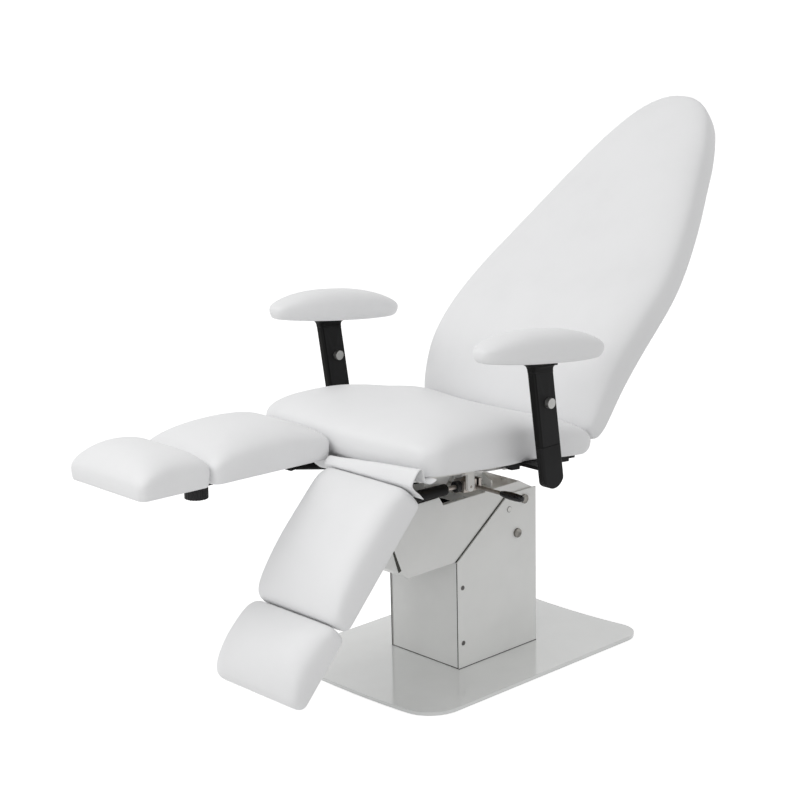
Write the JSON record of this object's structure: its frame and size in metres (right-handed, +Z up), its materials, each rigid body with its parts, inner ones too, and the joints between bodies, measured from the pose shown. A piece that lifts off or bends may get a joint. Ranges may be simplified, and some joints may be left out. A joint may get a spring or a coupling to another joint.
{
  "type": "podiatry chair",
  "caption": "Podiatry treatment chair on a lifting column: padded seat, reclining backrest, split tilting leg rests with sliding foot ends, and height-adjustable arm rests.",
  "frame": {"origin": "on the floor, under the middle of the lifting column", "axes": "+Z up, -Y towards the foot end of the chair, +X towards the seated person's left"},
  "size_m": [0.704, 1.5957, 1.1461],
  "materials": {
    "vinyl": "smooth semi-matt upholstery vinyl",
    "base_paint": "glossy light grey enamel",
    "grey_paint": "semi-gloss light grey enamel",
    "dark_paint": "satin black enamel",
    "black_plastic": "matt black plastic",
    "steel": "bright turned steel",
    "warm_steel": "zinc plated steel, slightly brown",
    "cap": "small pale plastic caps",
    "plywood": "birch plywood",
    "rubber": "black rubber"
  },
  "bodies": {
    "base": {"base_plate": "base_paint", "column_frame": "dark_paint", "left_side_panel": "grey_paint", "right_side_panel": "grey_paint", "front_panel": "grey_paint", "rear_panel": "grey_paint", "panel_screws": "steel", "lift_pivot_pins": "steel", "hole_plugs": "cap", "power_inlet": "black_plastic", "control_box": "black_plastic"},
    "actuator_tube": {"actuator_body": "black_plastic"},
    "actuator_ram": {"actuator_rod": "steel"},
    "lower_arm": {"lower_lift_arm": "dark_paint"},
    "upper_arm": {"upper_lift_arm": "dark_paint"},
    "carrier": {"carrier_frame": "grey_paint", "carrier_pins": "steel", "hood": "grey_paint", "hood_screws": "cap", "seat_brackets": "grey_paint", "seat_frame": "grey_paint", "seat_board": "plywood", "seat_cushion": "vinyl", "leg_hinge_shaft": "steel", "handset_hook": "steel", "left_arm_bracket": "dark_paint", "right_arm_bracket": "dark_paint", "bracket_bolts": "dark_paint", "back_spring_cylinder": "dark_paint", "back_hinge_pins": "steel"},
    "backrest": {"backrest_frame": "dark_paint", "backrest_board": "black_plastic", "backrest_cushion": "vinyl"},
    "back_ram": {"back_spring_rod": "steel"},
    "left_leg": {"left_leg_frame": "dark_paint", "left_calf_cushion": "vinyl", "left_leg_flap": "vinyl"},
    "left_foot": {"left_foot_slide": "dark_paint", "left_foot_cushion": "vinyl"},
    "left_knob": {"left_foot_knob": "black_plastic"},
    "left_spring_ram": {"left_leg_spring_rod": "warm_steel"},
    "left_spring_tube": {"left_leg_spring_cylinder": "dark_paint"},
    "left_lever": {"left_release_lever": "warm_steel", "left_lever_grip": "rubber"},
    "left_armrest": {"left_arm_sleeve": "dark_paint", "left_arm_pad": "vinyl"},
    "left_button": {"left_arm_button": "steel"},
    "right_leg": {"right_leg_frame": "dark_paint", "right_calf_cushion": "vinyl", "right_leg_flap": "vinyl"},
    "right_foot": {"right_foot_slide": "dark_paint", "right_foot_cushion": "vinyl"},
    "right_knob": {"right_foot_knob": "black_plastic"},
    "right_spring_ram": {"right_leg_spring_rod": "warm_steel"},
    "right_spring_tube": {"right_leg_spring_cylinder": "dark_paint"},
    "right_lever": {"right_release_lever": "warm_steel", "right_lever_grip": "rubber"},
    "right_armrest": {"right_arm_sleeve": "dark_paint", "right_arm_pad": "vinyl"},
    "right_button": {"right_arm_button": "steel"}
  },
  "joints": [
    {"name": "lift", "type": "hinge", "parent": "base", "child": "lower_arm", "pos_m": [0, 0.061, 0.273], "axis": [-1, 0, 0], "range_deg": [0, 50]},
    {"name": "upper_arm_pivot", "type": "hinge", "parent": "base", "child": "upper_arm", "pos_m": [0, 0.083, 0.345], "axis": [-1, 0, 0], "range_deg": [0, 50]},
    {"name": "carrier_pivot", "type": "hinge", "parent": "lower_arm", "child": "carrier", "pos_m": [0, -0.189, 0.273], "axis": [-1, 0, 0], "range_deg": [-50, 0]},
    {"name": "actuator_foot_pivot", "type": "hinge", "parent": "base", "child": "actuator_tube", "pos_m": [0, 0.04, 0.06], "axis": [-1, 0, 0], "range_deg": [-0.2, 6.2]},
    {"name": "actuator_stroke", "type": "slide", "parent": "actuator_tube", "child": "actuator_ram", "axis": [0, -0.2809, 0.9597], "range_m": [-0.0005, 0.0655]},
    {"name": "backrest_recline", "type": "hinge", "parent": "carrier", "child": "backrest", "pos_m": [0, 0.13885, 0.43917], "axis": [1, 0, 0], "range_deg": [-40, 0]},
    {"name": "back_spring_stroke", "type": "slide", "parent": "carrier", "child": "back_ram", "axis": [0, 0.9985, -0.0555], "range_m": [-0.0285, 0.0005]},
    {"name": "left_leg_tilt", "type": "hinge", "parent": "carrier", "child": "left_leg", "pos_m": [0.126, -0.31, 0.497], "axis": [1, 0, 0], "range_deg": [-48.5, 10], "deforming": ["left_leg_flap"]},
    {"name": "left_foot_extension", "type": "slide", "parent": "left_leg", "child": "left_foot", "axis": [0, -0.682, -0.7314], "range_m": [0, 0.1]},
    {"name": "left_knob_turn", "type": "hinge", "parent": "left_leg", "child": "left_knob", "pos_m": [0.126, -0.51733, 0.27467], "axis": [0, -0.7314, 0.682], "range_deg": [-180, 180]},
    {"name": "left_spring_pivot", "type": "hinge", "parent": "carrier", "child": "left_spring_ram", "pos_m": [0.118, -0.111, 0.422], "axis": [1, 0, 0], "range_deg": [-9.4, 2.1]},
    {"name": "left_spring_stroke", "type": "slide", "parent": "left_spring_ram", "child": "left_spring_tube", "axis": [0, -0.9993, 0.0372], "range_m": [-0.0101, 0.0471]},
    {"name": "left_release", "type": "hinge", "parent": "left_spring_ram", "child": "left_lever", "pos_m": [0.118, -0.08574, 0.41505], "axis": [0, 0.9993, -0.0372], "range_deg": [-5, 5], "stiffness_Nm_per_rad": 8},
    {"name": "left_armrest_height", "type": "slide", "parent": "carrier", "child": "left_armrest", "axis": [0, -0.1392, 0.9903], "range_m": [0, 0.08]},
    {"name": "left_button_press", "type": "slide", "parent": "left_armrest", "child": "left_button", "axis": [-1, 0, 0], "range_m": [0, 0.0025], "stiffness_N_per_m": 800},
    {"name": "right_leg_tilt", "type": "hinge", "parent": "carrier", "child": "right_leg", "pos_m": [-0.126, -0.31, 0.497], "axis": [1, 0, 0], "range_deg": [0, 58.5], "deforming": ["right_leg_flap"]},
    {"name": "right_foot_extension", "type": "slide", "parent": "right_leg", "child": "right_foot", "axis": [0, -0.9997, 0.0262], "range_m": [0, 0.1]},
    {"name": "right_knob_turn", "type": "hinge", "parent": "right_leg", "child": "right_knob", "pos_m": [-0.126, -0.6139, 0.50496], "axis": [0, 0.0262, 0.9997], "range_deg": [-180, 180]},
    {"name": "right_spring_pivot", "type": "hinge", "parent": "carrier", "child": "right_spring_ram", "pos_m": [-0.118, -0.111, 0.422], "axis": [1, 0, 0], "range_deg": [-0.2, 11.9]},
    {"name": "right_spring_stroke", "type": "slide", "parent": "right_spring_ram", "child": "right_spring_tube", "axis": [0, -0.9787, 0.2051], "range_m": [-0.0531, 0.0005]},
    {"name": "right_release", "type": "hinge", "parent": "right_spring_ram", "child": "right_lever", "pos_m": [-0.118, -0.08727, 0.4109], "axis": [0, 0.9787, -0.2051], "range_deg": [-5, 5], "stiffness_Nm_per_rad": 8},
    {"name": "right_armrest_height", "type": "slide", "parent": "carrier", "child": "right_armrest", "axis": [0, -0.1392, 0.9903], "range_m": [0, 0.08]},
    {"name": "right_button_press", "type": "slide", "parent": "right_armrest", "child": "right_button", "axis": [-1, 0, 0], "range_m": [0, 0.0025], "stiffness_N_per_m": 800}
  ],
  "couplings": [
    {"joint": "upper_arm_pivot", "follows": "lift", "ratio": 1},
    {"joint": "carrier_pivot", "follows": "lift", "ratio": -1},
    {"joint": "actuator_foot_pivot", "follows": "lift", "ratio": 0.115},
    {"joint": "actuator_stroke", "follows": "lift", "m_per_rad": 0.0735},
    {"joint": "back_spring_stroke", "follows": "backrest_recline", "m_per_rad": 0.04},
    {"joint": "left_spring_pivot", "follows": "left_leg_tilt", "ratio": 0.19},
    {"joint": "left_spring_stroke", "follows": "left_leg_tilt", "m_per_rad": -0.055},
    {"joint": "right_spring_pivot", "follows": "right_leg_tilt", "ratio": 0.2},
    {"joint": "right_spring_stroke", "follows": "right_leg_tilt", "m_per_rad": -0.0515}
  ]
}
